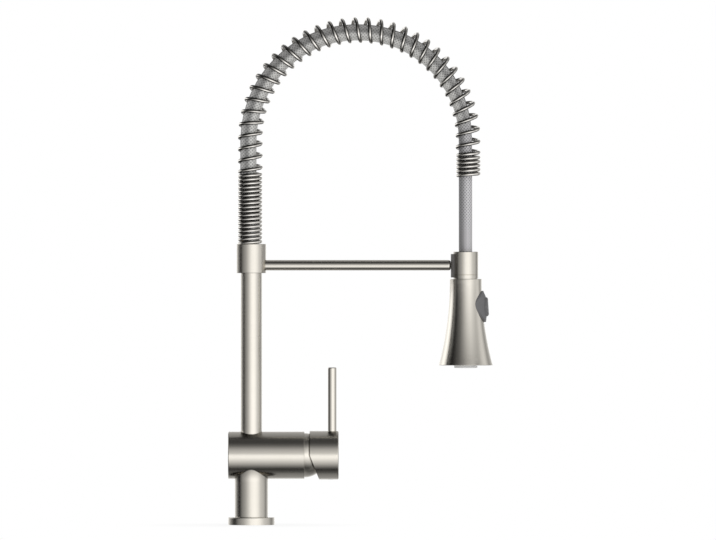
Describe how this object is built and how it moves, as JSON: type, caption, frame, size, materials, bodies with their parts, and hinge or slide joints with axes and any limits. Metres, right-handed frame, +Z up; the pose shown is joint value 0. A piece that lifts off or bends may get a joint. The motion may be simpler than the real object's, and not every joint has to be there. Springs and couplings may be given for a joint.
{
  "type": "spring kitchen faucet",
  "caption": "Single-lever kitchen mixer tap with a swivelling riser, a sprung hose arch and a docked pull-down spray head.",
  "frame": {"origin": "centre of the riser's axis on the deck, under the flange", "axes": "+Z up along the riser, +X towards the spray head and the lever, +Y to the back"},
  "size_m": [0.265, 0.0542, 0.5062],
  "materials": {
    "satin_nickel": "satin brushed nickel",
    "spring_steel": "bright drawn wire",
    "hose_braid": "fine grey braid over a rubber hose",
    "dock_plastic": "matt dark grey moulding",
    "button_plastic": "matt mid grey moulding",
    "nozzle_plastic": "light grey moulding",
    "spray_face": "matt grey moulding",
    "nozzle_rubber": "soft grey rubber",
    "brass": "machined",
    "steel": "machined",
    "seal_rubber": "black rubber",
    "cartridge_plastic": "moulded white plastic",
    "ceramic": "lapped white ceramic",
    "magnet": "plated magnet",
    "plug_plastic": "satin cover"
  },
  "bodies": {
    "base": {"base_flange": "satin_nickel", "base_gasket": "seal_rubber", "pedestal": "satin_nickel", "inlet_core": "brass", "mixer_body": "satin_nickel", "end_cap": "satin_nickel", "thrust_washer": "cartridge_plastic", "riser_screw": "steel", "cartridge_seals": "seal_rubber", "cartridge_base": "cartridge_plastic", "cartridge_sleeve": "cartridge_plastic", "ceramic_disc_fixed": "ceramic", "cartridge_nut": "brass", "bonnet_dome": "satin_nickel"},
    "rotor": {"cartridge_rotor": "cartridge_plastic", "rotor_pin": "steel"},
    "disc": {"ceramic_disc_moving": "ceramic", "disc_carrier": "cartridge_plastic"},
    "handle": {"cartridge_stem": "brass", "handle_hub": "satin_nickel", "lever_rod": "satin_nickel", "handle_grub_screw": "steel", "index_plug": "plug_plastic"},
    "spout": {"riser_spigot": "brass", "riser_orings": "seal_rubber", "riser_tube": "satin_nickel", "collar": "satin_nickel", "collar_grub_screw": "steel", "support_arm": "satin_nickel", "dock_saddle": "dock_plastic", "dock_magnets": "magnet", "dock_screw": "steel", "hose_nipple": "brass", "hose_ferrule": "steel", "hose_arch": "hose_braid", "hose_drop": "hose_braid", "spring": "spring_steel"},
    "hose_end": {"hose_end_ferrule": "steel", "hose_end_fitting": "brass", "hose_end_oring": "seal_rubber"},
    "head": {"head_neck": "satin_nickel", "neck_steel_sleeve": "steel", "head_shell": "satin_nickel", "button_bezel": "button_plastic", "waterway_core": "cartridge_plastic", "check_valve": "cartridge_plastic", "spray_plate": "spray_face", "spray_nubs": "nozzle_rubber", "aerator_housing": "nozzle_plastic", "aerator_screen": "nozzle_plastic"},
    "button": {"selector_button": "button_plastic"}
  },
  "joints": [
    {"name": "spout_swivel", "type": "hinge", "parent": "base", "child": "spout", "pos_m": [0, 0, 0], "axis": [0, 0, 1], "continuous": true},
    {"name": "lever_turn", "type": "hinge", "parent": "base", "child": "rotor", "pos_m": [0.053, 0, 0.0696], "axis": [1, 0, 0], "range_deg": [-45, 45]},
    {"name": "lever_tilt", "type": "hinge", "parent": "rotor", "child": "handle", "pos_m": [0.053, 0, 0.0696], "axis": [0, 1, 0], "range_deg": [0, 21]},
    {"name": "disc_slide", "type": "slide", "parent": "rotor", "child": "disc", "axis": [0, 0, 1], "range_m": [0, 0.0036]},
    {"name": "head_pull", "type": "slide", "parent": "spout", "child": "hose_end", "axis": [0, 0, -1], "range_m": [0, 0.1], "stiffness_N_per_m": 60, "springref_m": -0.1, "deforming": ["hose_drop"]},
    {"name": "head_swivel", "type": "hinge", "parent": "hose_end", "child": "head", "pos_m": [0.2143, 0, 0.26], "axis": [0, 0, 1], "continuous": true},
    {"name": "button_press", "type": "slide", "parent": "head", "child": "button", "axis": [-1, 0, 0], "range_m": [0, 0.003], "stiffness_N_per_m": 800, "springref_m": -0.001}
  ],
  "couplings": [
    {"joint": "disc_slide", "follows": "lever_tilt", "m_per_rad": 0.009}
  ]
}
